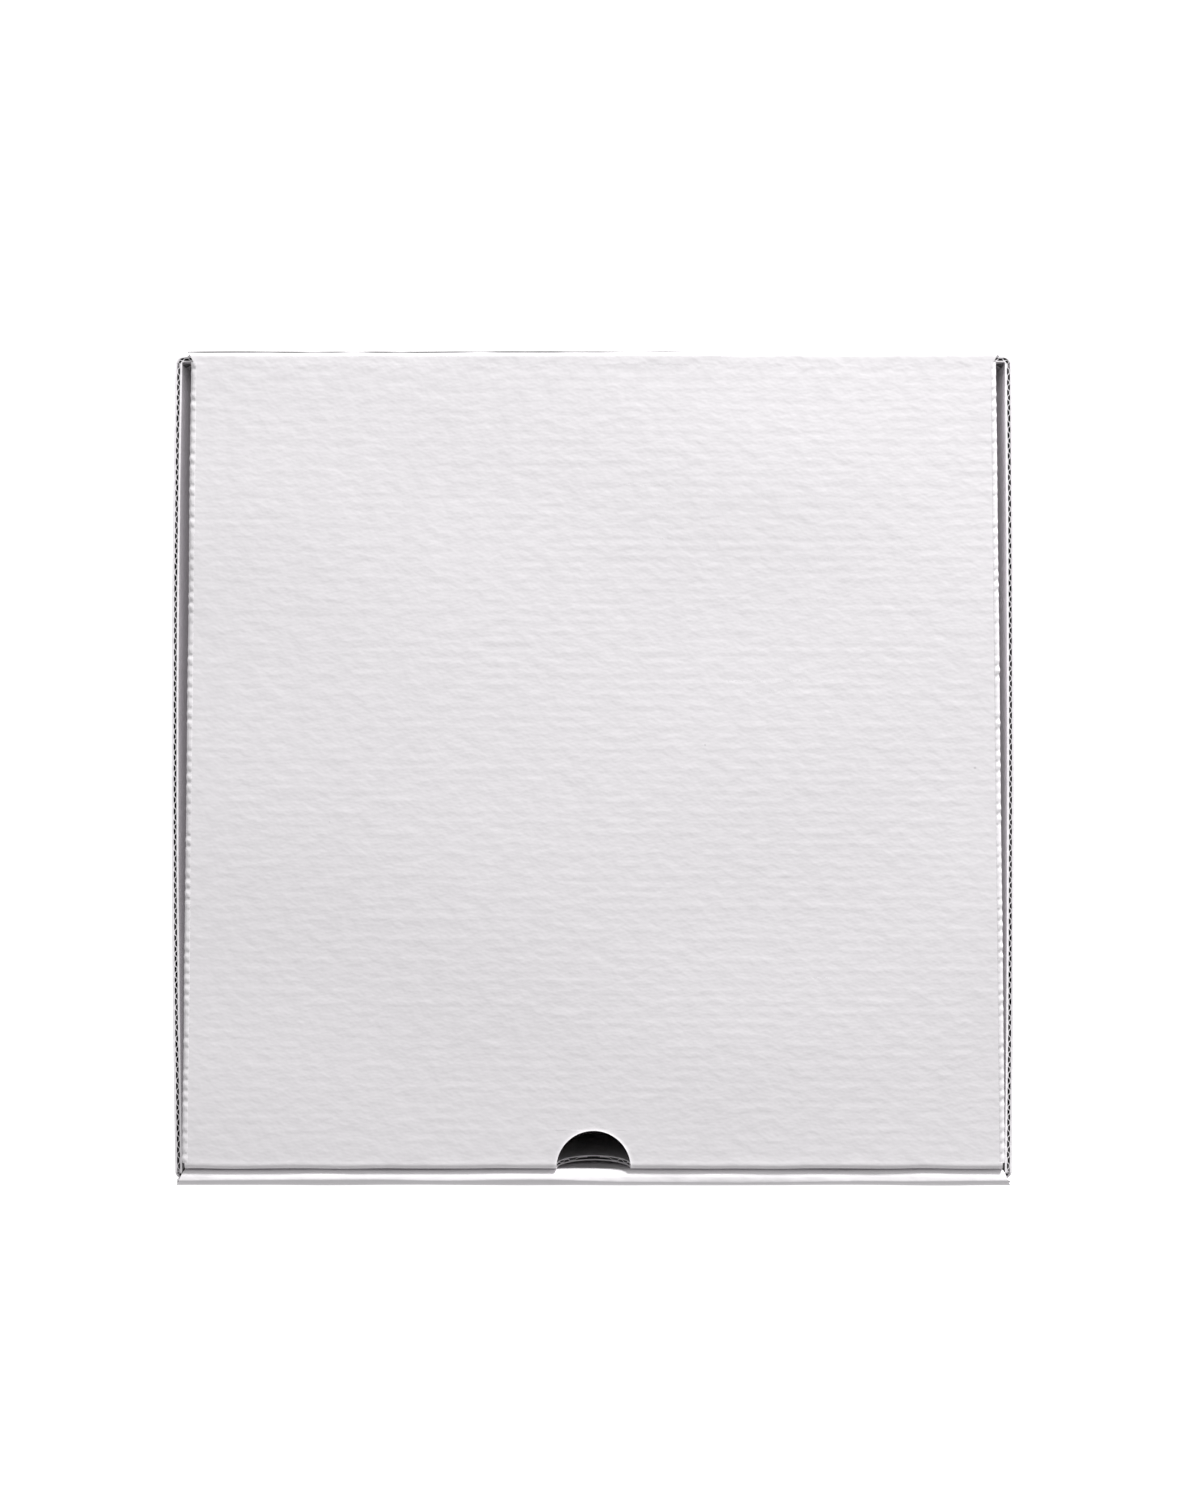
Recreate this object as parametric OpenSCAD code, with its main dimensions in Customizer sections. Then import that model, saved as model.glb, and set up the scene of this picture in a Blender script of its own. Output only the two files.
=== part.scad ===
// One-piece folded gift box in fine-flute corrugated board: tray with a rolled front wall, hinged tuck lid.
// X runs across, Y from the front to the rear, Z up. The origin is under the middle of the base.

/* [Box] */
// Outer width across the side walls
box_w = 260; // [200:5:320]
// Outer depth from the front wall to the rear wall
box_d = 260; // [200:5:320]
// Outer height to the top of the closed lid
box_h = 79; // [70:1:120]

/* [Board] */
// Thickness of the corrugated board
board_t = 1.6; // [1.4:0.1:2]
// Thickness of each liner
liner_t = 0.25; // [0.2:0.05:0.35]
// Thickness of the fluted medium
medium_t = 0.2; // [0.15:0.05:0.3]
// Distance from one flute to the next
flute_pitch = 3.3; // [3:0.1:3.8]
// Outer radius of a folded crease
crease_r = 1.8; // [1.6:0.1:2.4]
// Clear gap between layers of board that lie against each other
layer_gap = 0.1; // [0.05:0.05:0.2]

/* [Tray] */
// Width of the rear wall, which carries the lid
rear_wall_w = 253; // [190:1:253]
// Outer radius of the rolled top's crease at the front
roll_front_r = 2.7; // [2:0.1:2.8]
// Outer radius of the rolled top's crease at the inner front wall
roll_inner_r = 1.9; // [1.8:0.1:2]
// How far the rolled top narrows at each end, from its outer to its inner edge
roll_mitre = 2.6; // [1:0.2:4]
// Outer radius of the upright corner creases
corner_r = 2.4; // [2:0.1:3]
// Length of the corner flaps that fold behind the front and rear walls
corner_flap_l = 60; // [30:5:80]
// How much lower than the side walls the front corner flaps are, to clear the rolled top
front_flap_drop = 1.2; // [0.9:0.1:3]
// Chamfer on the lower free corner of a corner flap
corner_flap_chamfer = 15; // [5:1:25]
// Side clearance of the inner front wall between the side walls
inner_wall_gap = 0.8; // [0.4:0.1:1.5]
// Width of a locking tab under the inner front wall
tab_w = 38; // [20:1:50]
// Distance between the middles of the two locking tabs
tab_spacing = 130; // [80:5:150]
// Clearance of a locking tab in its slot
tab_gap = 0.2; // [0.1:0.05:0.4]

/* [Lid] */
// Gap beside the lid at its rear corners
lid_gap_rear = 3.2; // [2:0.1:5]
// Gap beside the lid at its front corners
lid_gap_front = 0.3; // [0.2:0.1:1]
// Gap between the lid's front crease and the rolled front
lid_gap_roll = 1; // [0.4:0.1:1.6]
// Depth of the front tuck flap below the top of the lid
tuck_flap_h = 36; // [24:1:42]
// Lean of the tuck flap towards the inside, in degrees
tuck_lean = 4.5; // [4.5:0.5:8]
// Taper of the tuck flap at each end
tuck_taper = 4; // [1:0.5:8]
// Radius of the tuck flap's lower corners
tuck_corner_r = 12; // [4:1:16]
// Depth of the side dust flaps below the top of the lid
dust_flap_h = 60; // [30:1:64]
// Taper of the dust flaps at their front and rear edges, in degrees
dust_taper = 7; // [7:1:15]
// Radius of the dust flaps' lower corners
dust_corner_r = 18; // [6:1:24]
// Distance of the dust flaps from the lid's front crease
dust_set_front = 3.4; // [3.2:0.2:8]
// Distance of the dust flaps from the rear face of the box
dust_set_rear = 5; // [4.6:0.2:8]
// Radius of the thumb hole punched across the front crease
thumb_r = 11.6; // [8:0.2:14]

/* [Crease hinge] */
// Gap between tray and lid where the rear crease is parted
hinge_gap = 0.1; // [0.1:0.05:0.3]

/* [Hidden] */
board_white = [0.93, 0.93, 0.94];
bend_steps = 4;             // facets in a quarter-turn crease
arc_steps = 10;             // facets in a rounded flap corner
lid_flutes = 4;             // flutes left open in the lid panel, where the thumb hole shows them
inner_r = crease_r - board_t;
layer_y = box_d / 2 - board_t - layer_gap;      // outer face of the corner flaps
roll_w = 3 * board_t + 2 * layer_gap;           // front wall, corner flap and inner wall
roll_y = -box_d / 2 + roll_w;                   // face of the inner front wall
side_top = box_h - board_t - layer_gap;         // cut top edge of the side walls
inner_w = box_w - 2 * board_t;
inner_wall_w = inner_w - 2 * inner_wall_gap;
split_shift = hinge_gap * sin(45);              // gap across the split, along Y and Z
hinge_y = box_d / 2 - crease_r + crease_r * cos(45) - split_shift / 2;
hinge_z = box_h - crease_r + crease_r * sin(45) - split_shift / 2;
lid_front_y = roll_y + lid_gap_roll;            // outer face of the lid's front crease
lid_half_rear = inner_w / 2 - lid_gap_rear;
lid_half_front = inner_w / 2 - lid_gap_front;
lid_d = box_d / 2 - lid_front_y;
lid_flare = atan((lid_half_front - lid_half_rear) / lid_d);
tuck_half = lid_half_front - crease_r / 2;
tuck_l = tuck_flap_h - crease_r;
tuck_start = [lid_front_y + crease_r, box_h - crease_r] + crease_r * heading(180 + tuck_lean);
core_h = board_t - 2 * liner_t;
flute_top_half = 0.11 * flute_pitch;            // half width of a flute tunnel at its crest
flute_foot_half = flute_pitch / 2 - flute_top_half - 1.2 * medium_t;
over = 3 * board_t;                             // how far a cutter runs past what it cuts

function heading(a) = [cos(a), sin(a)];

// A folded strip is a list of steps: straight length, turn to the left, outer radius of the turn.
// Its outer face is on the right of the path, and the board lies to the left.
function turn_centre(p, a, step) = p + step[0] * heading(a) + step[2] * heading(a + 90);
function step_end(p, a, step) = turn_centre(p, a, step) + step[2] * heading(a + step[1] - 90);
function bend_count(step) = max(1, round(bend_steps * step[1] / 90));
function step_face(p, a, step, depth) = concat(
    [p + depth * heading(a + 90)],
    [for (k = [0 : bend_count(step)])
        turn_centre(p, a, step) + (step[2] - depth) * heading(a - 90 + step[1] * k / bend_count(step))]);
function strip_face(steps, p, a, depth, i = 0) = i == len(steps) ? [] : concat(
    step_face(p, a, steps[i], depth),
    strip_face(steps, step_end(p, a, steps[i]), a + steps[i][1], depth, i + 1));
function reversed(points) = [for (i = [len(points) - 1 : -1 : 0]) points[i]];
function apart(points) = [for (i = [0 : len(points) - 1])
    if (i == 0 || norm(points[i] - points[i - 1]) > 0.001) points[i]];
function strip_outline(steps, p, a) = apart(concat(
    strip_face(steps, p, a, 0), reversed(strip_face(steps, p, a, board_t))));

// Flute tunnels along a straight stretch of board from [0, 0] along +X, with the board from y = 0 up
module flute_tunnels(length) {
    count = floor(length / flute_pitch);
    margin = (length - count * flute_pitch) / 2;
    for (i = [0 : count - 1]) translate([margin + (i + 0.5) * flute_pitch, liner_t]) {
        polygon([[-flute_foot_half, 0], [flute_foot_half, 0],
                 [flute_top_half, core_h - medium_t], [-flute_top_half, core_h - medium_t]]);
        if (i < count - 1) translate([flute_pitch / 2, core_h])
            polygon([[-flute_foot_half, 0], [-flute_top_half, medium_t - core_h],
                     [flute_top_half, medium_t - core_h], [flute_foot_half, 0]]);
    }
}

// Outline in the YZ plane, carried across the box
module across_box(width) rotate([90, 0, 90]) linear_extrude(width, center = true) children();

// Inner front wall, rolled top, front wall, base and rear wall: one strip folded from front to rear
module front_to_rear_strip() {
    front_h = box_h - crease_r - roll_front_r;
    rear_h = box_h - 2 * crease_r - split_shift;
    steps = [[box_h - roll_inner_r - board_t - layer_gap, 90, roll_inner_r],
             [roll_w - roll_inner_r - roll_front_r, 90, roll_front_r],
             [front_h, 90, crease_r],
             [box_d - 2 * crease_r, 90, crease_r],
             [rear_h, 45, crease_r]];
    difference() {
        across_box(box_w) difference() {
            polygon(strip_outline(steps, [roll_y, board_t + layer_gap], 90));
            translate([-box_d / 2, box_h - roll_front_r]) rotate(-90) flute_tunnels(front_h);
            translate([box_d / 2, crease_r]) rotate(90) flute_tunnels(rear_h);
        }
        for (side = [-1, 1]) scale([side, 1, 1]) {
            // base and its creases end where the side creases begin
            translate([box_w / 2 - crease_r, -box_d, -over]) cube([over, 2 * box_d, over + crease_r]);
            // rear wall
            translate([rear_wall_w / 2, box_d / 2 - crease_r, -over]) cube([box_w, over, box_h + 2 * over]);
            // inner front wall
            translate([inner_wall_w / 2, roll_y - board_t - layer_gap / 2, -over])
                cube([box_w, board_t + over, box_h - roll_inner_r + over]);
            // mitred end of the rolled top
            translate([0, 0, box_h - roll_front_r]) linear_extrude(over) polygon([
                [box_w / 2, -box_d / 2], [box_w, -box_d / 2], [box_w, roll_y + over],
                [box_w / 2 - roll_mitre, roll_y + over], [box_w / 2 - roll_mitre, roll_y]]);
        }
    }
}

// Right side wall with its two corner flaps, cut top edge open at every flute
module side_wall() {
    straight = 2 * (layer_y - corner_r);
    flap = corner_flap_l - corner_r;
    steps = [[flap, 90, corner_r], [straight, 90, corner_r], [flap, 0, 0]];
    difference() {
        translate([0, 0, crease_r]) linear_extrude(side_top - crease_r) difference() {
            polygon(strip_outline(steps, [box_w / 2 - corner_flap_l, -layer_y], 0));
            translate([box_w / 2, -straight / 2]) rotate(90) flute_tunnels(straight);
            translate([box_w / 2 - corner_r, layer_y]) rotate(180) flute_tunnels(flap);
        }
        // lower top edge of the front corner flap, from the corner crease on
        translate([0, -box_d / 2, side_top - front_flap_drop])
            cube([box_w, box_d / 2 - straight / 2, over]);
        // chamfered lower corner of each corner flap
        translate([box_w / 2 - corner_flap_l, 0, crease_r]) rotate([90, 0, 0])
            linear_extrude(2 * box_d, center = true) polygon([
                [-over, -over], [corner_flap_chamfer, -over], [corner_flap_chamfer, 0],
                [0, corner_flap_chamfer], [-over, corner_flap_chamfer]]);
    }
    // crease between base and side wall
    rotate([90, 0, 0]) linear_extrude(straight, center = true)
        polygon(strip_outline([[board_t, 90, crease_r]], [box_w / 2 - crease_r - board_t, 0], 0));
}

module tray() color(board_white) {
    difference() {
        union() {
            front_to_rear_strip();
            side_wall();
            mirror([1, 0, 0]) side_wall();
        }
        for (side = [-1, 1]) translate([side * tab_spacing / 2, roll_y - board_t / 2, 0])
            cube([tab_w + 2 * tab_gap, board_t + 2 * tab_gap, 2 * (board_t + layer_gap / 2)], center = true);
    }
    for (side = [-1, 1]) translate([side * tab_spacing / 2 - tab_w / 2, roll_y - board_t, layer_gap])
        cube([tab_w, board_t, 2 * board_t]);
}

// Quarter circle of points about a centre, from one heading through 90 degrees
function corner_arc(centre, r, from) = [for (k = [0 : arc_steps])
    centre + r * heading(from + 90 * k / arc_steps)];

// Half of the lid panel's outline, up to the side crease and with relief cuts at the rear corner
function lid_panel_half(side) = [
    [side * rear_wall_w / 2, box_d / 2 + over],
    [side * rear_wall_w / 2, box_d / 2 - crease_r],
    [side * (lid_half_rear - crease_r), box_d / 2 - 2 * crease_r],
    [side * (lid_half_front - crease_r), lid_front_y + crease_r],
    [side * tuck_half, lid_front_y],
    [side * tuck_half, lid_front_y - over]];

// Lid panel and tuck flap: one strip folded from the rear crease forwards
module rear_to_tuck_strip() {
    start = [box_d / 2 - crease_r - split_shift, box_h - crease_r] + crease_r * heading(45);
    steps = [[0, 45, crease_r],
             [lid_d - 2 * crease_r - split_shift, 90 + tuck_lean, crease_r],
             [tuck_l, 0, 0]];
    intersection() {
        across_box(box_w) difference() {
            polygon(strip_outline(steps, start, 135));
            translate(tuck_start) rotate(tuck_lean - 90) flute_tunnels(tuck_l);
            translate([lid_front_y + crease_r + lid_flutes * flute_pitch, box_h])
                rotate(180) flute_tunnels(lid_flutes * flute_pitch);
        }
        union() {
            translate([0, 0, box_h - 2 * board_t]) linear_extrude(3 * board_t)
                polygon(concat(lid_panel_half(-1), reversed(lid_panel_half(1))));
            // tuck flap with tapered ends and round lower corners
            rotate([90, 0, 0]) linear_extrude(2 * box_d, center = true) polygon(concat(
                [[tuck_half, box_h - board_t], [-tuck_half, box_h - board_t]],
                corner_arc([tuck_taper + tuck_corner_r - tuck_half, box_h - tuck_flap_h + tuck_corner_r],
                           tuck_corner_r, 180),
                corner_arc([tuck_half - tuck_taper - tuck_corner_r, box_h - tuck_flap_h + tuck_corner_r],
                           tuck_corner_r, 270)));
        }
    }
}

// Right dust flap with its side crease, along the flared edge of the lid panel
module dust_flap() {
    drop = dust_flap_h - crease_r;              // tapered length, below the side crease
    front = dust_set_front;
    rear = (lid_d - dust_set_rear) / cos(lid_flare);
    crease_front = crease_r - layer_gap;        // the side crease runs up to the front and rear creases
    crease_rear = (lid_d - 2 * crease_r) / cos(lid_flare);
    inset = drop * tan(dust_taper);
    translate([lid_half_front, lid_front_y, 0]) rotate(lid_flare) intersection() {
        rotate([90, 0, 0]) linear_extrude(2 * box_d, center = true) polygon(strip_outline(
            [[dust_flap_h - crease_r, 90, crease_r], [board_t, 0, 0]], [0, box_h - dust_flap_h], 90));
        rotate([90, 0, 90]) linear_extrude(2 * crease_r + 2 * board_t, center = true) polygon(concat(
            [[rear, box_h - crease_r], [crease_rear, box_h - crease_r], [crease_rear, box_h + over],
             [crease_front, box_h + over], [crease_front, box_h - crease_r], [front, box_h - crease_r]],
            corner_arc([front + inset + dust_corner_r, box_h - dust_flap_h + dust_corner_r],
                       dust_corner_r, 180),
            corner_arc([rear - inset - dust_corner_r, box_h - dust_flap_h + dust_corner_r],
                       dust_corner_r, 270)));
    }
}

// Round hole centred on the front crease, so that half of it lies in the lid and half in the tuck flap
module thumb_hole() translate([0, lid_front_y, 0]) {
    translate([0, 0, box_h - crease_r]) cylinder(r = thumb_r, h = over, $fn = 64);
    translate([0, 0, box_h]) rotate([tuck_lean - 90, 0, 0])
        cylinder(r = thumb_r, h = 2 * over, center = true, $fn = 64);
}

module lid() color(board_white) difference() {
    union() {
        rear_to_tuck_strip();
        dust_flap();
        mirror([1, 0, 0]) dust_flap();
    }
    thumb_hole();
}

tray();
lid();
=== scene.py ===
import math
import bpy
import numpy as np
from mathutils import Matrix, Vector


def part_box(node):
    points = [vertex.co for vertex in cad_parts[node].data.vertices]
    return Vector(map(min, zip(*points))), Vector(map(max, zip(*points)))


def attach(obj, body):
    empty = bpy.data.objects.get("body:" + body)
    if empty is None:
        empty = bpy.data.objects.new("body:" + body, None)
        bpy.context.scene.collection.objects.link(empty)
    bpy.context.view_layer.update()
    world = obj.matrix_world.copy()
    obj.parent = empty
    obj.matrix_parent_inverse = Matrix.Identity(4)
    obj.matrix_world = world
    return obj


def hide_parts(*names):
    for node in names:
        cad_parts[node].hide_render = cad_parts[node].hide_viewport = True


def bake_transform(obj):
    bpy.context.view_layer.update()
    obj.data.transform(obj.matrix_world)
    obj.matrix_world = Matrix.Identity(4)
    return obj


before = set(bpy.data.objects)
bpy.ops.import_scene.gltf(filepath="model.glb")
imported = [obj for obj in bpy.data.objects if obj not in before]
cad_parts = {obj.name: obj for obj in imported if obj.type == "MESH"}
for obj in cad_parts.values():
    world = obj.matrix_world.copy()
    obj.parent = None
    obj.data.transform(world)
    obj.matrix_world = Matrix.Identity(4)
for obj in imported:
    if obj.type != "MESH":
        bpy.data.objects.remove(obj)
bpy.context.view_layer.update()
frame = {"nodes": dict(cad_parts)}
print("frame loaded:", ", ".join(frame["nodes"]))

# Lengths below are in millimetres, and meshes are made in metres.
mm = 0.001
trayLow, trayHigh = (np.array(corner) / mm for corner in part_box("tray"))

board = {
    "thickness": 1.6,        # liner, fluted medium and liner together
    "liner": 0.32,           # with the burr that cutting leaves on it
    "medium": 0.28,
    "flutePitch": 3.3,
    "creaseRadius": 1.8,     # outer radius of a folded crease
    "layerGap": 0.1,         # between layers of board that lie on each other
    "underlap": 0.6,         # a crease's end slips this far under the next panel's face
    "flutePoints": 16,       # points along one flute's wave
    "fluteSteepness": 2.6,
    "openDepth": 9.0,        # how far the open flutes can be looked into
    "mediumInset": 0.12,     # the medium ends this far inside the liners' cut
    "cutSwell": 0.26,        # each liner stands out this far along the side walls' cut edges
    "freshDepth": 0.35,      # the knife leaves the cut edges white this far in
}
tray = {
    "halfWidth": trayHigh[0],
    "halfDepth": trayHigh[1],
    "height": trayHigh[2],
    "rollFrontRadius": 2.2,
    "rollInnerRadius": 2.4,
    "rollSink": 0.7,         # the rolled wall ends a little below the lid
    "rollMitre": 2.6,        # how far the rolled top narrows at each end
    "ridgeHeight": 0.36,     # the rolled top is creased to a low ridge
    "cornerRadius": 2.4,
    "cornerFlap": 60.0,
    "cornerChamfer": 15.0,
    "innerWallGap": 0.8,
    "rearHalf": 126.5,
    "bowLeft": 1.25,         # the side walls bulge at mid length
    "bowRight": 0.75,
    "tabWidth": 38.0,
    "tabSpacing": 130.0,
}
lid = {
    "halfRear": 125.25,
    "halfFront": 128.1,
    "rollGap": 0.5,
    "frontRadius": 1.9,
    "startY": 125.4,         # the rear crease piece ends here
    "tuckDepth": 36.0,
    "tuckLean": 4.5,
    "tuckTaper": 4.0,
    "tuckCorner": 12.0,
    "dustDepth": 60.0,
    "dustTaper": 7.0,
    "dustCorner": 18.0,
    "dustFront": 3.4,
    "dustRear": 5.0,
    "thumbRadius": 11.55,
    "thumbTopY": -112.65,
    "thumbLip": 0.14,        # the punched edge stands up a little
    "frontCrest": 0.34,      # the front crease is squarer than its radius
    "washboard": 0.010,      # depth of the hollows over the flutes
    "rippleHeight": 0.3,
    "creaseCrest": 0.26,     # and so are the side creases
    "creaseDots": 0.2,       # crushed flutes along the side creases
    "creaseHollowShade": 0.35,     # painted shade between their bumps at the inner ends
    "blendInset": 1.06,      # the rear crease bends about this far inside the box's edge
    "blendReach": 0.99,
}
wall = board["thickness"]
crease = board["creaseRadius"]
pitch = board["flutePitch"]
layerY = tray["halfDepth"] - wall - board["layerGap"]
rollWidth = 3 * wall + 2 * board["layerGap"]
rollY = rollWidth - tray["halfDepth"]
sideTop = tray["height"] - wall - board["layerGap"]
lidFrontY = rollY + lid["rollGap"]
flare = math.atan((lid["halfFront"] - lid["halfRear"]) / (tray["halfDepth"] - lidFrontY))


def foldPath(steps, start, heading, origin=0.0):
    # Straight runs and left-hand bends (length, turn in degrees, outer radius). A point is found from
    # its distance along the outer face and its depth inside that face, which is on the path's right.
    rows, at, angle, run = [], np.array(start, float), math.radians(heading), origin
    for length, turn, radius in steps:
        if length:
            rows.append((run, at[0], at[1], angle, 0.0))
            at = at + length * np.array([math.cos(angle), math.sin(angle)])
            run += length
        if turn:
            rows.append((run, at[0], at[1], angle, 1 / radius))
            at = at + radius * np.array([-math.sin(angle), math.cos(angle)])
            angle += math.radians(turn)
            at = at - radius * np.array([-math.sin(angle), math.cos(angle)])
            run += radius * math.radians(turn)
    table = np.array(rows)

    def place(run, depth):
        run, depth = np.broadcast_arrays(run, depth)
        row = np.clip(np.searchsorted(table[:, 0], run, side="right") - 1, 0, len(table) - 1)
        begin, px, py, angle, bend = np.moveaxis(table[row], -1, 0)
        curved = bend > 0
        radius = 1 / np.where(curved, bend, 1.0)
        turn = (run - begin) * bend
        along = np.where(curved, (radius - depth) * np.sin(turn), run - begin)
        side = np.where(curved, radius - (radius - depth) * np.cos(turn), depth)
        return (px + along * np.cos(angle) - side * np.sin(angle),
                py + along * np.sin(angle) + side * np.cos(angle))
    return place, run


def ripple(a, b, seed, longest, waves=9):
    # Smooth unevenness between about -1 and 1: a sum of sine waves in random directions.
    rng = np.random.default_rng(seed)
    total = np.zeros(np.broadcast(a, b).shape)
    for _ in range(waves):
        length = longest * rng.uniform(0.3, 1.0)
        way = rng.uniform(0, 2 * math.pi)
        total = total + np.sin(2 * math.pi * (a * math.cos(way) + b * math.sin(way)) / length
                               + rng.uniform(0, 6.28))
    return total / math.sqrt(waves * 2)


def gridQuads(index):
    return np.stack([index[:-1, :-1], index[1:, :-1], index[1:, 1:], index[:-1, 1:]], -1).reshape(-1, 4)


def facedOut(points, quads):
    # Turns every face round if the closed shell holds a negative volume.
    a, b, c, d = (points[quads[:, k]] for k in range(4))
    volume = np.sum(a * np.cross(b, c)) + np.sum(a * np.cross(c, d))
    return quads if volume > 0 else quads[:, ::-1]


def cutWhiteAndFluteShade(depth):
    # White at the cut itself, and painted shade a little way into the flutes.
    return np.interp(depth, [0, board["freshDepth"], 1.5], [0.8, -0.8, -1.0])


def boardShell(run, across, quads, place, slot, relief=None, wavesAcross=False, swell=None, freshAndLit=None,
               inside=None):
    # A folded piece of board as one closed shell. Both faces follow the same flat grid. Its cut edge
    # steps in between the liners by the slot's depth, so the board looks hollow there.
    used, quads = np.unique(quads, return_inverse=True)
    quads = quads.reshape(-1, 4)
    run, across = run.ravel()[used], across.ravel()[used]
    sides = np.concatenate([quads[:, [k, (k + 1) % 4]] for k in range(4)])
    pairs, which, count = np.unique(np.sort(sides, 1), axis=0, return_inverse=True, return_counts=True)
    rimSides = sides[count[which.ravel()] == 1]
    rim = np.unique(rimSides)
    rank = np.zeros(len(run), int)
    rank[rim] = np.arange(len(rim))
    way = np.stack([run[rimSides[:, 1]] - run[rimSides[:, 0]],
                    across[rimSides[:, 1]] - across[rimSides[:, 0]]], 1)
    way /= np.maximum(np.linalg.norm(way, axis=1, keepdims=True), 1e-9)
    inward = np.zeros((len(run), 2))
    for end in (0, 1):
        np.add.at(inward, rimSides[:, end], np.stack([-way[:, 1], way[:, 0]], 1))
    inward = inward[rim] / np.maximum(np.linalg.norm(inward[rim], axis=1, keepdims=True), 1e-9)
    deep = slot(run[rim], across[rim])
    lift = relief(run, across) if relief else np.zeros(len(run))
    wide = swell(run, across) if swell else np.zeros(len(run))
    bright = freshAndLit(run, across) if freshAndLit else np.zeros(len(run))
    # The outer face takes the given whitening and painted light; the inner face the given mark, or else a
    # little painted shade.
    lining = inside(run, across) if inside else np.full(len(run), -0.1)
    liner = board["liner"]
    layers = [place(run, across, -lift - wide), place(run, across, wall - lift + wide)]
    flat = [np.stack([run, across], 1)] * 2
    wear = [bright, lining]
    lift = lift[rim]
    near = np.minimum(board["freshDepth"], deep / 3)
    steps = (0 * deep, near, deep)
    for inset, depth in [(step, liner) for step in steps] + [(step, wall - liner) for step in steps[::-1]]:
        ringRun = run[rim] + inset * inward[:, 0]
        ringAcross = across[rim] + inset * inward[:, 1]
        layers.append(place(ringRun, ringAcross, depth - lift))
        flat.append(np.stack([ringRun, ringAcross], 1))
        # Round an open cut edge: white at the cut, painted shade deeper into the flutes.
        wear.append(np.where(deep > 1, cutWhiteAndFluteShade(inset), 0.0))
    points, flat, wear = (np.concatenate(part) for part in (layers, flat, wear))
    size = len(run)
    levels = [rimSides] + [rank[rimSides] + 2 * size + k * len(rim) for k in range(6)] + [rimSides + size]
    faces = [quads, quads[:, ::-1] + size]
    for upper, lower in zip(levels[:-1], levels[1:]):
        faces.append(np.stack([upper[:, 1], upper[:, 0], lower[:, 0], lower[:, 1]], 1))
    if wavesAcross:
        flat = flat[:, ::-1]
    return points, facedOut(points, np.concatenate(faces)), flat, wear


def fluteSheet(place, along, outer, inner, wavesAcross=False):
    # The medium: a wave of one pitch as thick as the paper, tanh(k cos(phase)) / tanh(k), so it lies
    # along each liner and crosses steeply. Its phase wanders, as flutes do where the knife pressed them.
    amp = (wall - 2 * board["liner"] - board["medium"]) / 2
    steep = board["fluteSteepness"]
    phase = 2 * math.pi * along / pitch + 0.55 * ripple(along, 0 * along, 61, 14)
    wave = np.tanh(steep * np.cos(phase))
    slope = -amp * steep * (1 - wave ** 2) / math.tanh(steep) * np.sin(phase) * 2 * math.pi / pitch
    wave = wave / math.tanh(steep)
    tilt = np.sqrt(1 + slope ** 2)
    inset = board["freshDepth"] * np.sign(np.mean(inner - outer))
    ends = np.stack([np.broadcast_to(at, along.shape) for at in (outer, outer + inset, inner)], 1)
    layers, flat = [], []
    for face in (-1, 1):
        step = face * board["medium"] / 2
        at = np.repeat((along - step * slope / tilt)[:, None], 3, 1)
        depth = np.repeat((wall / 2 + amp * wave + step / tilt)[:, None], 3, 1)
        pair = (ends, at) if wavesAcross else (at, ends)
        layers.append(place(*pair, depth).reshape(-1, 3))
        flat.append(np.stack([at.ravel(), ends.ravel()], 1))
    rows = len(along)
    index = np.arange(3 * rows).reshape(rows, 3)
    quads = gridQuads(index)
    loop = np.concatenate([index[:, 0], index[-1, 1:2], index[::-1, 2], index[0, 1:2], index[0, :1]])
    rimQuads = np.stack([loop[:-1], loop[1:], loop[1:] + 3 * rows, loop[:-1] + 3 * rows], 1)
    points = np.concatenate(layers)
    faces = np.concatenate([quads, quads[:, ::-1] + 3 * rows, rimQuads])
    # The medium: a little dull at its cut edge, and painted shade deeper into the flutes.
    wear = np.tile([-0.1, -0.9, -1.0], 2 * rows)
    return points, facedOut(points, faces), np.concatenate(flat), wear


def flutePoints(begin, end):
    return np.linspace(begin, end, max(2, int((end - begin) / pitch * board["flutePoints"])))


def makePiece(name, body, shells, node=None):
    total, faces = 0, []
    for points, shellFaces, _, _ in shells:
        faces.append(shellFaces + total)
        total += len(points)
    faces = np.concatenate(faces)
    points, flat, wear = (np.concatenate([shell[k] for shell in shells]) for k in (0, 2, 3))
    mesh = bpy.data.meshes.new(name)
    mesh.vertices.add(len(points))
    mesh.vertices.foreach_set("co", (points * mm).ravel())
    mesh.loops.add(faces.size)
    mesh.loops.foreach_set("vertex_index", faces.ravel())
    mesh.polygons.add(len(faces))
    mesh.polygons.foreach_set("loop_start", np.arange(0, faces.size, 4))
    mesh.update(calc_edges=True)
    mesh.polygons.foreach_set("use_smooth", np.ones(len(faces), bool))
    mesh.uv_layers.new(name="flat").data.foreach_set("uv", (flat * mm)[faces.ravel()].ravel())
    # One mark per point: above zero whiter and glowing (real cut and crease whitening, and painted light),
    # below zero darker (the dull medium, and painted shade)
    mesh.attributes.new("wear", "FLOAT", "POINT").data.foreach_set("value", wear)
    mesh.validate()
    mesh.set_sharp_from_angle(angle=math.radians(38))
    piece = bpy.data.objects.new(name, mesh)
    bpy.context.collection.objects.link(piece)
    mesh.materials.append(linerPaper)
    if body:
        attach(piece, body)
    if node:
        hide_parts(node)
    print("made", name, len(faces) * 2, "triangles")
    return piece


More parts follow.
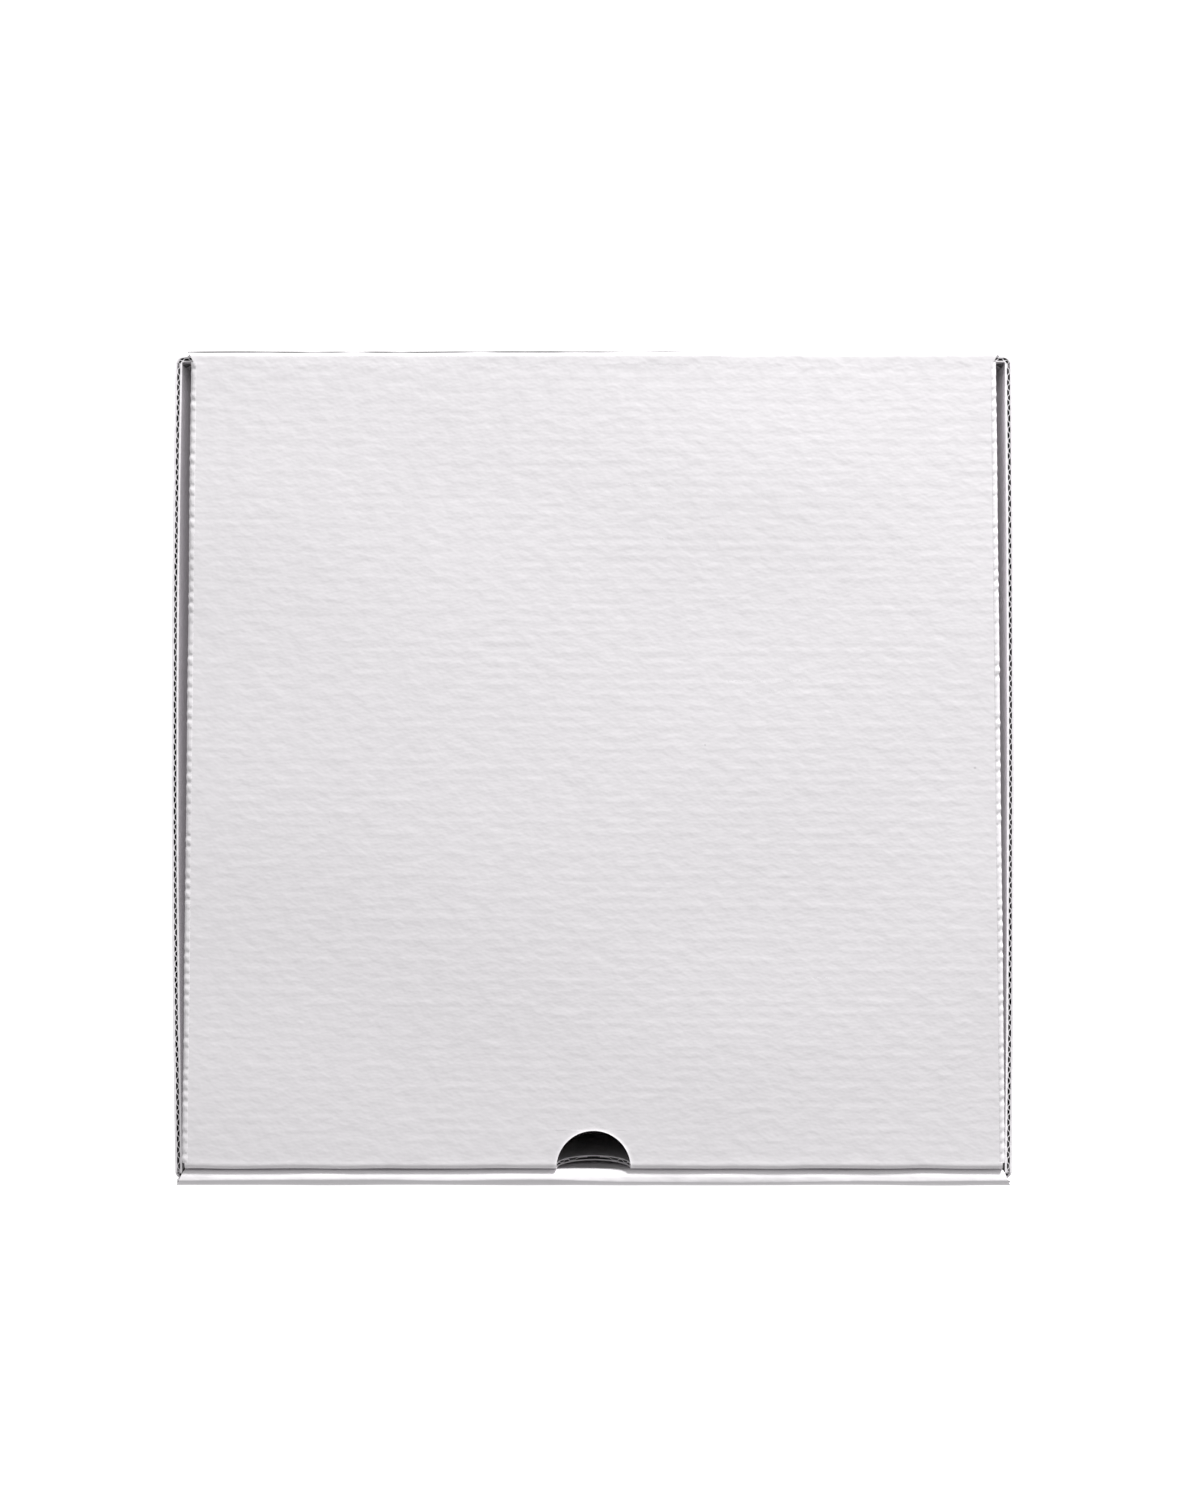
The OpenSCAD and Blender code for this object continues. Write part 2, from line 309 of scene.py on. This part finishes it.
class Wire:
    # One output socket that can stand in a sum. Numbers and wires mix, and each sign adds a Math node.
    def __init__(self, tree, socket=None):
        self.tree, self.socket = tree, socket

    def node(self, kind, settings=None, inputs=None, output=0):
        made = self.tree.nodes.new(kind)
        for name, value in (settings or {}).items():
            if name == "stops":
                while len(made.color_ramp.elements) < len(value):
                    made.color_ramp.elements.new(0.5)
                for element, (at, shade) in zip(made.color_ramp.elements, value):
                    element.position = at
                    element.color = (shade, shade, shade, 1)
            else:
                setattr(made, name, value)
        for name, value in (inputs or {}).items():
            if isinstance(value, Wire):
                self.tree.links.new(value.socket, made.inputs[name])
            else:
                made.inputs[name].default_value = value
        return Wire(self.tree, made.outputs[output])

    def maths(self, operation, first, second=0.0):
        return self.node("ShaderNodeMath", {"operation": operation}, {0: first, 1: second})

    def __add__(self, other):
        return self.maths("ADD", self, other)

    def __radd__(self, other):
        return self.maths("ADD", other, self)

    def __sub__(self, other):
        return self.maths("SUBTRACT", self, other)

    def __rsub__(self, other):
        return self.maths("SUBTRACT", other, self)

    def __mul__(self, other):
        return self.maths("MULTIPLY", self, other)

    def __rmul__(self, other):
        return self.maths("MULTIPLY", other, self)


paper = {
    "tone": 0.83,            # white liner
    "pink": 0.972,           # green against red and blue
    "freshAndLitTone": 0.16,       # cut edges and stretched creases are whiter, as are the places painted light
    "paintedGlow": 0.036,   # painted glow: all that is whitened this way also gives off a little light
    "deepTone": 0.93,        # the dull medium and the shade inside the flutes
    "waveTone": 0.006, "streakTone": 0.05, "patchTone": 0.04, "cloudTone": 0.02,
    "specks": ((-82.0, -16.6, 0.35), (34.7, 7.3, 0.3), (118.6, 0.2, 0.4)),
    "waveHeight": 0.007, "streakHeight": 0.14, "patchHeight": 0.07, "fibreHeight": 0.006,
}


def boardPaper(name, look):
    # White board: a washboard over the flutes, streaks along them, soft clouding, fibres and specks.
    finish = bpy.data.materials.new(name)
    finish.use_nodes = True
    tree = finish.node_tree
    shader = tree.nodes["Principled BSDF"]
    wire = Wire(tree)
    flat = wire.node("ShaderNodeUVMap", {"uv_map": "flat"})
    solid = wire.node("ShaderNodeTexCoord", output="Object")
    wear = wire.node("ShaderNodeAttribute", {"attribute_name": "wear"}, output="Fac")
    acrossFlutes = wire.node("ShaderNodeSeparateXYZ", inputs={0: flat}, output="X")
    wave = wire.maths("COSINE", acrossFlutes * (2 * math.pi / (pitch * mm)))
    streakPlace = wire.node("ShaderNodeMapping", inputs={"Vector": flat, "Scale": (300, 190, 1)})
    streaks = wire.node("ShaderNodeTexNoise", {"noise_dimensions": "2D"},
                        {"Vector": streakPlace, "Scale": 1.0, "Detail": 2.0, "Roughness": 0.55})
    patchPlace = wire.node("ShaderNodeMapping", inputs={"Vector": flat, "Scale": (190, 95, 1)})
    patches = wire.node("ShaderNodeTexNoise", {"noise_dimensions": "2D"},
                        {"Vector": patchPlace, "Scale": 1.0, "Detail": 3.0})
    clouds = wire.node("ShaderNodeTexNoise", inputs={"Vector": solid, "Scale": 9.0, "Detail": 2.0})
    fibres = wire.node("ShaderNodeTexNoise", inputs={"Vector": solid, "Scale": 2600.0, "Detail": 4.0,
                                                      "Roughness": 0.7})
    # Above zero the mark whitens the paper and makes it glow: real whitening, and painted light. Below zero
    # it darkens it: the dull medium, and painted shade.
    freshAndLit = wire.maths("MAXIMUM", wear, 0.0)
    deep = wire.maths("MAXIMUM", 0.0 - wear, 0.0)
    washed = wave * (patches * 2.2 - 0.4)
    # The washboard wave darkens the colour a little in its hollows: painted shade.
    tone = (look["tone"] + washed * look["waveTone"] + (streaks - 0.5) * look["streakTone"]
            + (patches - 0.5) * look["patchTone"] + (clouds - 0.5) * look["cloudTone"]
            + freshAndLit * look["freshAndLitTone"])
    tone = tone * (1.0 - deep * look["deepTone"])
    for x, y, radius in look["specks"]:
        away = wire.node("ShaderNodeVectorMath", {"operation": "DISTANCE"},
                         {0: solid, 1: (x * mm, y * mm, tray["height"] * mm)}, output="Value")
        tone = tone - wire.maths("LESS_THAN", away, radius * mm) * 0.16
    colour = wire.node("ShaderNodeCombineColor",
                       inputs={"Red": tone, "Green": tone * look["pink"], "Blue": tone})
    height = (washed * look["waveHeight"] + (streaks - 0.5) * look["streakHeight"]
              + (patches - 0.5) * look["patchHeight"] + (fibres - 0.5) * look["fibreHeight"])
    bump = wire.node("ShaderNodeBump", inputs={"Strength": 1.0, "Distance": 1.0, "Height": height * mm})
    rough = 0.62 + (fibres - 0.5) * 0.12 + (patches - 0.5) * 0.1
    tree.links.new(colour.socket, shader.inputs["Base Color"])
    tree.links.new(rough.socket, shader.inputs["Roughness"])
    # Painted glow: the whitened places give off light.
    tree.links.new(freshAndLit.socket, shader.inputs["Emission Color"])
    shader.inputs["Emission Strength"].default_value = look["paintedGlow"]
    tree.links.new(bump.socket, shader.inputs["Normal"])
    shader.inputs["Specular IOR Level"].default_value = 0.35
    return finish


linerPaper = boardPaper("whiteBoard", paper)
print("board finish made")


def traySettled(points):
    # The side walls bulge outwards: most at mid length and at the top, nothing at base and corners.
    bulge = (np.clip(1 - (points[..., 1] / layerY) ** 2, 0, 1)
             * np.clip(points[..., 2] / sideTop, 0, 1) ** 1.3
             * np.clip((np.abs(points[..., 0]) - 118) / 8, 0, 1))
    points[..., 0] += bulge * np.where(points[..., 0] > 0, tray["bowRight"], -tray["bowLeft"])
    return points


def stripPlace(path):
    # A strip folded across the box: the path lies in the plane of Y and Z, and across is X.
    def place(run, across, depth):
        y, z = path(run, depth)
        return np.stack(np.broadcast_arrays(across, y, z), -1).astype(float)
    return place


def filled(*stretches):
    # Rows along a strip: (begin, end, spacing) for each stretch.
    rows = [np.linspace(begin, end, max(2, int(math.ceil((end - begin) / step)) + 1))
            for begin, end, step in stretches]
    return np.unique(np.round(np.concatenate(rows), 4))


def makeTrayStrip():
    rollIn, rollOut = tray["rollInnerRadius"], tray["rollFrontRadius"]
    height, depth = tray["height"], tray["halfDepth"]
    innerRise = height - tray["rollSink"] - rollIn - wall - board["layerGap"]
    frontRise = height - tray["rollSink"] - crease - rollOut
    rearRise = lid["startY"] - depth + height - crease
    path, _ = foldPath([(innerRise, 90, rollIn), (rollWidth - rollIn - rollOut, 90, rollOut),
                        (frontRise, 90, crease), (2 * depth - 2 * crease, 90, crease), (rearRise, 0, 0)],
                       (rollY, wall + board["layerGap"]), 90)
    arc = math.pi / 2
    rollEnd = innerRise + (rollIn + rollOut) * (arc - 1) + rollWidth
    frontFoot = rollEnd + frontRise
    baseStart = frontFoot + crease * arc
    baseEnd = baseStart + 2 * depth - 2 * crease
    rearFoot = baseEnd + crease * arc
    end = rearFoot + rearRise
    ridge = innerRise + rollIn * arc + (rollWidth - rollIn - rollOut) / 2
    run = filled((0, innerRise, 3), (innerRise, rollEnd, 0.25), (rollEnd, frontFoot, 3),
                 (frontFoot, baseStart, 0.3), (baseStart, baseEnd, 6), (baseEnd, rearFoot, 0.3),
                 (rearFoot, end, 3), (frontFoot, frontFoot + 0.05, 0.05), (rearFoot - 0.05, rearFoot, 0.05))
    innerHalf = tray["halfWidth"] - wall - tray["innerWallGap"]
    baseHalf = tray["halfWidth"] - crease
    fullHalf = tray["halfWidth"]
    knots = [0, innerRise, innerRise + 0.6, rollEnd - 0.6, frontFoot, frontFoot + 0.05, rearFoot - 0.05,
             rearFoot]
    halves = [innerHalf, innerHalf, fullHalf - tray["rollMitre"], fullHalf, fullHalf, baseHalf, baseHalf,
              tray["rearHalf"]]
    half = np.interp(run, knots, halves)
    runs, spreads = np.meshgrid(run, np.linspace(-1, 1, 161), indexing="ij")
    across = spreads * half[:, None]
    place = stripPlace(path)

    def slot(r, a):
        inBase = (r > frontFoot + 0.02) & (r < rearFoot - 0.02)
        return np.where(inBase | (r > end - 0.01), 0.05, board["openDepth"])

    def relief(r, a):
        wander = 0.8 * np.exp(-((a - 50) / 50) ** 2) + 0.35 + 0.4 * ripple(a, 0 * a, 14, 60)
        crown = np.exp(-np.sqrt((r - ridge - wander) ** 2 + 0.01) / 0.9)
        body = np.exp(-((r - ridge) / 2.6) ** 2)
        creases = sum(np.exp(-((r - at) / 2.0) ** 2) for at in (frontFoot + 1, rearFoot - 1))
        return (tray["ridgeHeight"] * crown + 0.1 * body * ripple(a, 0 * a, 11, 60)
                + 0.06 * creases * ripple(a, r, 12, 40) + 0.12 * ripple(a, r, 13, 120)
                + 0.035 * body * ripple(a, 3 * r, 16, 22))

    # Painted highlight: the rolled top's slope that faces the lamp is painted whiter, with a glow, in
    # uneven patches.
    def freshAndLit(r, a):
        onRidge = np.exp(-((r - ridge + 0.9) / 1.1) ** 2)
        return 0.9 * onRidge * np.clip(0.7 + 0.5 * ripple(a, 3 * r, 15, 40), 0, 1)

    index = np.arange(runs.size).reshape(runs.shape)
    shells = [boardShell(runs, across, gridQuads(index), place, slot, relief, freshAndLit=freshAndLit)]
    for begin, finish in ((0.3, frontFoot - 0.3), (rearFoot + 0.3, end)):
        along = flutePoints(begin, finish)
        edge = np.interp(along, knots, halves)
        for side in (-1, 1):
            shells.append(fluteSheet(place, along, side * (edge - board["mediumInset"]),
                                     side * (edge - board["openDepth"])))
    tabPath, _ = foldPath([(wall + 1, 0, 0)], (rollY, board["layerGap"]), 90)
    for side in (-1, 1):
        tabRun, tabAcross = np.meshgrid(np.linspace(0, wall + 0.5, 4),
                                        np.linspace(-0.5, 0.5, 12) * tray["tabWidth"]
                                        + side * tray["tabSpacing"] / 2, indexing="ij")
        index = np.arange(tabRun.size).reshape(tabRun.shape)
        shells.append(boardShell(tabRun, tabAcross, gridQuads(index), stripPlace(tabPath),
                                 lambda r, a: 0.3 + 0 * r))
    makePiece("frontBaseRear", "tray", shells, "tray")


def makeSideWall(side):
    foot = tray["halfWidth"] - crease - wall
    path, top = foldPath([(wall, 90, crease), (sideTop - crease, 0, 0)], (foot, 0), 0)
    reach = layerY - tray["cornerRadius"]
    swelling = board["cutSwell"]

    def place(run, across, depth):
        x, z = path(run, depth)
        return traySettled(np.stack(np.broadcast_arrays(side * x, across, z), -1).astype(float))

    def slot(r, a):
        return np.where(r > top - 0.01, board["openDepth"], 0.05)

    def relief(r, a):
        return 0.1 * ripple(a, r, 21 + side, 90) * np.clip((top - r) / 10, 0.2, 1)

    def swell(r, a):
        return swelling * np.clip(1 - (top - r) / 1.5, 0, 1) ** 2

    # The inner face is painted lighter and glowing towards its top, standing in for light reaching into the
    # gap beside the lid, and a little darker towards the base: painted shade.
    def inside(r, a):
        return np.exp((r - top) / 24) - 0.1

    run = filled((0, wall, 0.8), (wall, wall + crease * math.pi / 2, 0.3),
                 (wall + crease * math.pi / 2, top - 2, 3), (top - 2, top, 0.25))
    runs, acrosses = np.meshgrid(run, np.linspace(-reach, reach, 241), indexing="ij")
    index = np.arange(runs.size).reshape(runs.shape)
    shells = [boardShell(runs, acrosses, gridQuads(index), place, slot, relief, wavesAcross=True,
                         swell=swell, inside=inside)]
    along = flutePoints(-reach, reach)
    shells.append(fluteSheet(place, along, top - board["mediumInset"], top - board["openDepth"],
                             wavesAcross=True))
    for end in (-1, 1):
        flapTop = sideTop if end > 0 else sideTop - 1.2
        plan, length = foldPath([(0, 90, tray["cornerRadius"]),
                                 (tray["cornerFlap"] - tray["cornerRadius"], 0, 0)],
                                (tray["halfWidth"], reach), 90, origin=reach)
        straight = reach + tray["cornerRadius"] * math.pi / 2

        def flapPlace(run, across, depth, end=end, plan=plan):
            x, y = plan(run, depth)
            return traySettled(np.stack(np.broadcast_arrays(side * x, end * y, across), -1).astype(float))

        run = filled((reach, straight, 0.3), (straight, length, 2.5))
        foot = crease + np.clip(run - length + tray["cornerChamfer"], 0, tray["cornerChamfer"])
        upper = sideTop - (sideTop - flapTop) * np.clip((run - reach) / 3, 0, 1)
        share = np.concatenate([np.linspace(0, 0.96, 20), np.linspace(0.975, 1, 8)])
        acrosses = foot[:, None] + (upper - foot)[:, None] * share[None, :]
        runs = np.repeat(run[:, None], len(share), 1)
        index = np.arange(runs.size).reshape(runs.shape)

        def flapSlot(r, a, flapTop=flapTop, length=length):
            return np.where((a > flapTop - 0.01) | (r > length - 0.01), board["openDepth"], 0.05)

        def flapSwell(r, a):
            return (swelling * np.clip(1 - (sideTop - a) / 1.5, 0, 1) ** 2
                    * np.clip(1 - (r - reach) / 2.5, 0, 1))

        shells.append(boardShell(runs, acrosses, gridQuads(index), flapPlace, flapSlot, swell=flapSwell))
        along = flutePoints(reach, length - 0.3)
        edge = np.interp(along, run, upper)
        shells.append(fluteSheet(flapPlace, along, edge - board["mediumInset"], edge - board["openDepth"]))
    makePiece("sideWallRight" if side > 0 else "sideWallLeft", "tray", shells, "tray")


def panelHalf(y):
    share = (y - lidFrontY) / (tray["halfDepth"] - lidFrontY)
    return lid["halfFront"] + (lid["halfRear"] - lid["halfFront"]) * share - crease


def lidRipple(x, y):
    return lid["rippleHeight"] * ripple(x, y, 31, 260, 7) * np.clip((lid["startY"] - np.abs(y)) / 40, 0, 1)


def tuckedUnder(run, limit):
    # Lowers what lies past a panel's border, so that two faces never lie in one plane.
    return -0.3 * np.clip((run - limit) / 0.15, 0, 1)


def makeLidPanel():
    soft = lid["frontRadius"]
    panelRun = lid["startY"] - lidFrontY - soft
    bend = math.radians(90 + lid["tuckLean"]) * soft
    tuckRun = lid["tuckDepth"] - soft
    path, end = foldPath([(panelRun, 90 + lid["tuckLean"], soft), (tuckRun, 0, 0)],
                         (lid["startY"], tray["height"]), 180)
    radius = lid["thumbRadius"]
    holeRun = lid["startY"] - lid["thumbTopY"] + radius
    angle = np.linspace(0, math.pi, 97)
    step = pitch / 8
    run = np.concatenate([np.arange(0, holeRun - radius - step / 2, step), holeRun - radius * np.cos(angle),
                          filled((holeRun + radius + 0.5, end - lid["tuckCorner"], 1.5),
                                 (end - lid["tuckCorner"], end, 0.5))])
    hole = np.sqrt(np.clip(radius ** 2 - (run - holeRun) ** 2, 0, None))
    hole[hole < 1e-4] = 0
    tuckHalf = lid["halfFront"] - crease / 2
    fromEnd = np.clip(end - run, 0, None)
    corner = lid["tuckCorner"]
    rounding = corner - np.sqrt(np.clip(corner ** 2 - np.clip(corner - fromEnd, 0, None) ** 2, 0, None))
    tuckEdge = tuckHalf - lid["tuckTaper"] * np.clip(1 - fromEnd / tuckRun, 0, 1) - rounding
    half = np.where(run < panelRun, panelHalf(lid["startY"] - run), tuckEdge)
    share = np.concatenate([[0, 0.003, 0.006, 0.012], np.linspace(0.03, 1, 24)])
    right = hole[:, None] + (half - hole)[:, None] * share[None, :]
    across = np.concatenate([-right[:, ::-1], right], 1)
    runs = np.repeat(run[:, None], across.shape[1], 1)
    index = np.arange(runs.size).reshape(runs.shape)
    middle = len(share)
    index[hole == 0, middle] = index[hole == 0, middle - 1]
    quads = np.concatenate([gridQuads(index[:, :middle]), gridQuads(index[:, middle:])])
    place = stripPlace(path)

    def relief(r, a):
        y = lid["startY"] - r
        hollow = 0.5 - 0.5 * np.cos(2 * math.pi * r / pitch)
        uneven = (0.8 + 0.3 * ripple(a, 4 * r, 32, 45, 14)) * (0.75 + 0.35 * np.clip(a / 60, -1, 1))
        onPanel = np.clip((panelRun - r) / 3, 0, 1)
        edge = np.exp(-((r - panelRun - bend / 2) / 1.1) ** 2)
        lip = np.exp(-np.clip(np.hypot(r - holeRun, a) - radius, 0, 9) / 0.45)
        return (-lid["washboard"] * hollow * uneven * onPanel + lidRipple(a, y) * onPanel
                + edge * (lid["frontCrest"] + 0.16 * ripple(a, 0 * a, 33, 50))
                + lid["thumbLip"] * lip * onPanel)

    # A ring round the thumb hole is whiter and gives off a little painted glow.
    def freshAndLit(r, a):
        fromHole = np.hypot(r - holeRun, a) - radius
        return np.clip(1.5 - fromHole / 0.55, 0, 1) * np.clip((panelRun + bend - r) / 2, 0, 1)

    def slot(r, a):
        atHole = np.hypot(r - holeRun, a) < radius + 0.01
        return np.where(atHole | (r > panelRun), board["openDepth"], 0.05)

    shells = [boardShell(runs, across, quads, place, slot, relief, freshAndLit=freshAndLit)]
    inHole = flutePoints(holeRun - radius + 0.15, holeRun + radius - 0.15)
    cut = np.sqrt(np.clip(radius ** 2 - (inHole - holeRun) ** 2, 0, None))
    tuck = flutePoints(panelRun + bend, end - 0.4)
    tuckCut = np.interp(tuck, run, half)
    for side in (-1, 1):
        shells.append(fluteSheet(place, inHole, side * (cut + board["mediumInset"]),
                                 side * (cut + board["openDepth"])))
        shells.append(fluteSheet(place, tuck, side * (tuckCut - board["mediumInset"]),
                                 side * (tuckCut - board["openDepth"])))
    makePiece("lidPanelAndTuck", "lid", shells, "lid")


def makeDustFlap(side):
    drop = lid["dustDepth"] - crease
    path, end = foldPath([(drop, 90, crease), (board["underlap"], 0, 0)],
                         (0, tray["height"] - lid["dustDepth"]), 90)
    border = end - board["underlap"]
    corner = lid["dustCorner"]
    run = np.concatenate([corner * (1 - np.cos(np.linspace(0, math.pi / 2, 14))),
                          filled((corner + 2, drop - 3, 3), (drop - 2.5, end, 0.22))])
    inset = np.clip(drop - run, 0, None) * math.tan(math.radians(lid["dustTaper"]))
    rounding = corner - np.sqrt(np.clip(corner ** 2 - np.clip(corner - run, 0, None) ** 2, 0, None))
    onCrease = np.clip((run - drop + 2) / 2, 0, 1)
    low = lid["dustFront"] + inset + rounding - onCrease * (lid["dustFront"] - lid["frontRadius"] + 0.1)
    full = (tray["halfDepth"] - lidFrontY) / math.cos(flare)
    high = full - lid["dustRear"] - inset - rounding + onCrease * (lid["dustRear"] - 2 * crease)
    share = np.linspace(0, 1, 595)
    across = low[:, None] + (high - low)[:, None] * share[None, :]
    runs = np.repeat(run[:, None], len(share), 1)
    mid = drop + crease * math.pi / 4

    def place(run, across, depth):
        x, z = path(run, depth)
        localX, localY, z = (part.astype(float) for part in np.broadcast_arrays(x, across, z))
        worldX = lid["halfFront"] + localX * math.cos(flare) - localY * math.sin(flare)
        worldY = lidFrontY + localX * math.sin(flare) + localY * math.cos(flare)
        onTop = np.clip((z - tray["height"] + 2.2) / 2.2, 0, 1)
        return np.stack([side * worldX, worldY, z + onTop * lidRipple(side * worldX, worldY)], -1)

    def dots(a):
        return np.cos(2 * math.pi * a / pitch) * (0.5 + 0.6 * ripple(a, 0 * a, 41 + side, 16))

    def relief(r, a):
        crushed = np.exp(-((r - mid) / 0.9) ** 2)
        uneven = 0.12 * ripple(a, 0 * a, 44 + side, 70)
        crest = lid["creaseDots"] * dots(a) + lid["creaseCrest"] + uneven
        return crushed * crest + tuckedUnder(r, border + 0.08)

    # The crushed flutes along the crease are whiter; the whole hanging face is painted light, with a glow,
    # for light reaching into the gap beside the side wall; between the crushed flutes' bumps, at their
    # inner ends, painted shade.
    def freshAndLit(r, a):
        crushed = np.exp(-((r - mid - 0.4) / 0.8) ** 2) * np.clip(0.35 + 0.65 * dots(a), 0, 1)
        hollowShade = (np.exp(-((r - border + 0.5) / 0.45) ** 2)
                 * np.clip(-0.4 - 1.6 * np.cos(2 * math.pi * a / pitch), 0, 1))
        return np.maximum(crushed, np.where(r < drop, 0.9, 0)) - lid["creaseHollowShade"] * hollowShade

    def slot(r, a):
        return np.where(r < drop - 0.1, board["openDepth"], 0.2)

    index = np.arange(runs.size).reshape(runs.shape)
    shells = [boardShell(runs, across, gridQuads(index), place, slot, relief, wavesAcross=True,
                         freshAndLit=freshAndLit)]
    along = flutePoints(low[0] + 0.3, high[0] - 0.3)
    shells.append(fluteSheet(place, along, 0.15, board["openDepth"], wavesAcross=True))
    makePiece("dustFlapRight" if side > 0 else "dustFlapLeft", "lid", shells, "lid")


def makeRearCrease():
    extra = tray["halfDepth"] - crease - lid["startY"]
    under = board["underlap"]
    path, end = foldPath([(extra + under, 90, crease), (extra + under, 0, 0)],
                         (tray["halfDepth"], tray["height"] - crease - extra - under), 90)
    run = np.unique(np.concatenate([np.linspace(0, end, 41), under + np.array([-0.15, 0]),
                                    end - under + np.array([0, 0.15])]))
    bendStart, bendEnd = under + extra, end - under - extra
    half = np.interp(run, [bendStart + 0.5, bendEnd + 0.8, end],
                     [tray["rearHalf"], lid["halfRear"] - 0.3, panelHalf(lid["startY"])])
    runs, spreads = np.meshgrid(run, np.linspace(-1, 1, 161), indexing="ij")
    across = spreads * half[:, None]

    def relief(r, a):
        onCrease = np.clip(1 - np.abs(r - end / 2) / (end / 2 - under), 0, 1)
        return (onCrease * 0.14 * ripple(a, 0 * a, 51, 60) + tuckedUnder(r, end - under)
                + tuckedUnder(under - r, 0))

    # Whiter along the middle of the bend, where the liner is stretched, with a painted glow; and a dark
    # band painted along the bend's outer edge, fading towards the right.
    def freshAndLit(r, a):
        faint = np.clip(0.95 - np.clip(a, 0, 130) / 110 + 0.15 * ripple(a, 0 * a, 52, 40), 0, 1)
        darkBand = np.exp(-((r - bendStart - 1.0) / 1.0) ** 4) * faint
        return np.exp(-((r - end / 2 - 0.4) / 1.2) ** 2) * (1 - darkBand) - 0.95 * darkBand

    index = np.arange(runs.size).reshape(runs.shape)
    shell = boardShell(runs, across, gridQuads(index), stripPlace(path),
                       lambda r, a: np.where((r < 0.01) | (r > end - 0.01), 0.05, 3.0), relief, freshAndLit=freshAndLit)
    shell[2][:, 0] -= end - under                 # the paper's marks run on into the lid panel
    piece = makePiece("rearCrease", None, [shell])
    # Two points round the bend, from the rear wall's face to the lid's face; nothing uses them.
    middle = np.array([tray["halfDepth"], tray["height"]]) - lid["blendInset"]
    reach = lid["blendReach"] * np.array([1, -1])
    begin, finish = (middle + reach) * mm, (middle - reach) * mm
    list(begin)
    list(finish)
    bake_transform(piece)


makeTrayStrip()
for side in (-1, 1):
    makeSideWall(side)
makeLidPanel()
for side in (-1, 1):
    makeDustFlap(side)
makeRearCrease()

studio = {
    "eyeHeight": 800.0,      # camera above the lid
    "frameLong": 466.4,      # what the long side of the picture spans at the lid
    "aim": (2.0, 5.75),      # the box lies a little low and left in the picture
    "floorTone": 0.4, "floorGlow": 0.9,
    "glowFade": ((0.345, 1.0), (0.65, 0.2)),     # metres from the box, share of the glow
    "worldTone": 0.5,
    "keyPower": 36.0, "keyPlace": (580, 1390, 550), "keySize": 280,
}


def addLight(name, power, place, size):
    lamp = bpy.data.lights.new(name, "AREA")
    lamp.energy, lamp.size = power, size * mm
    holder = bpy.data.objects.new(name, lamp)
    holder.location = [part * mm for part in place]
    aim = -np.array(place, float)
    tilt = math.atan2(math.hypot(aim[0], aim[1]), -aim[2])
    holder.rotation_euler = (tilt, 0, math.atan2(-aim[0], aim[1]))
    bpy.context.collection.objects.link(holder)


def setStudio():
    scene = bpy.context.scene
    scene.view_settings.view_transform = "Standard"
    eye = bpy.data.cameras.new("eye")
    eye.lens = 36 * studio["eyeHeight"] / studio["frameLong"]
    holder = bpy.data.objects.new("eye", eye)
    holder.location = [part * mm for part in (*studio["aim"], tray["height"] + studio["eyeHeight"])]
    bpy.context.collection.objects.link(holder)
    scene.camera = holder
    world = bpy.data.worlds.new("room")
    scene.world = world
    world.use_nodes = True
    tone = studio["worldTone"]
    world.node_tree.nodes["Background"].inputs["Color"].default_value = (tone, tone, tone, 1)
    addLight("keyLight", studio["keyPower"], studio["keyPlace"], studio["keySize"])
    mesh = bpy.data.meshes.new("floor")
    reach = 3.0
    mesh.from_pydata([(-reach, -reach, -0.0002), (reach, -reach, -0.0002), (reach, reach, -0.0002),
                      (-reach, reach, -0.0002)], [], [(0, 1, 2, 3)])
    floor = bpy.data.objects.new("floor", mesh)
    bpy.context.collection.objects.link(floor)
    pale = bpy.data.materials.new("paleFloor")
    pale.use_nodes = True
    shader = pale.node_tree.nodes["Principled BSDF"]
    tone = studio["floorTone"]
    shader.inputs["Base Color"].default_value = (tone, tone, tone, 1)
    shader.inputs["Roughness"].default_value = 0.8
    wire = Wire(pale.node_tree)
    place = wire.node("ShaderNodeTexCoord", output="Object")
    away = wire.node("ShaderNodeVectorMath", {"operation": "LENGTH"}, {0: place}, output="Value")
    glow = wire.node("ShaderNodeValToRGB", {"stops": studio["glowFade"]}, {"Fac": away})
    pale.node_tree.links.new(glow.socket, shader.inputs["Emission Color"])
    shader.inputs["Emission Strength"].default_value = studio["floorGlow"]
    mesh.materials.append(pale)


setStudio()
print("camera, floor and lights set")
